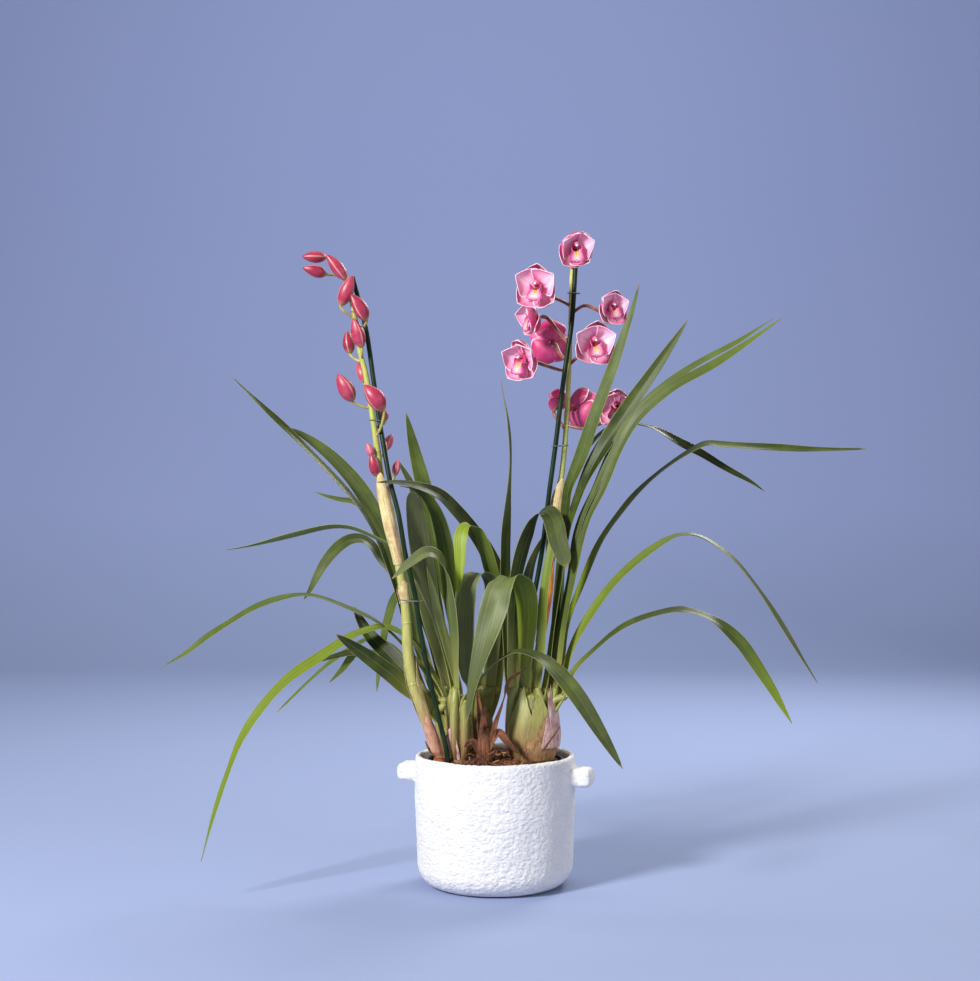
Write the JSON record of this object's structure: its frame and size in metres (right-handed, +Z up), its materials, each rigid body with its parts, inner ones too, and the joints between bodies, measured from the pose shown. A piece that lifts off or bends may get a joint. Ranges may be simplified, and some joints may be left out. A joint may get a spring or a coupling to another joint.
{
  "type": "potted orchid",
  "caption": "Flowering boat orchid with arching strap leaves, a budding spike and a blooming spike on stakes, growing in a plain round ceramic pot with side lugs.",
  "frame": {"origin": "centre of the pot's flat foot", "axes": "+Z up the pot's axis; -Y towards the viewer's side, where the front leaves fall over the rim; +X towards the flowering spike"},
  "size_m": [0.8685, 0.2734, 0.8125],
  "materials": {
    "glaze": "matte, rough white",
    "liner_plastic": "matte black",
    "bark": "rough bark and fibre chips",
    "leaf_green": "satin leaf",
    "dry_leaf": "dry and papery",
    "bud_stem": "satin stem with dusty pink buds",
    "flower_stem": "satin stem",
    "petal": "soft petal",
    "stake_green": "dark green coated",
    "tie_wire": "thin coated wire"
  },
  "bodies": {
    "root": {"pot": "glaze", "nursery_pot": "liner_plastic", "growing_mix": "bark", "growth_left_front": "leaf_green", "growth_left_back": "leaf_green", "growth_centre_back": "leaf_green", "growth_right_front": "leaf_green", "growth_right_back": "leaf_green", "dry_sheaths": "dry_leaf", "bud_spike": "bud_stem", "flower_spike": "flower_stem", "bloom_1": "petal", "bloom_2": "petal", "bloom_3": "petal", "bloom_4": "petal", "bloom_5": "petal", "bloom_6": "petal", "bloom_7": "petal", "bloom_8": "petal", "bloom_9": "petal", "bloom_10": "petal", "stake_left": "stake_green", "stake_right": "stake_green", "tie_left_low": "tie_wire", "tie_left_middle": "tie_wire", "tie_left_high": "tie_wire", "tie_right_low": "tie_wire", "tie_right_high": "tie_wire"}
  },
  "joints": []
}
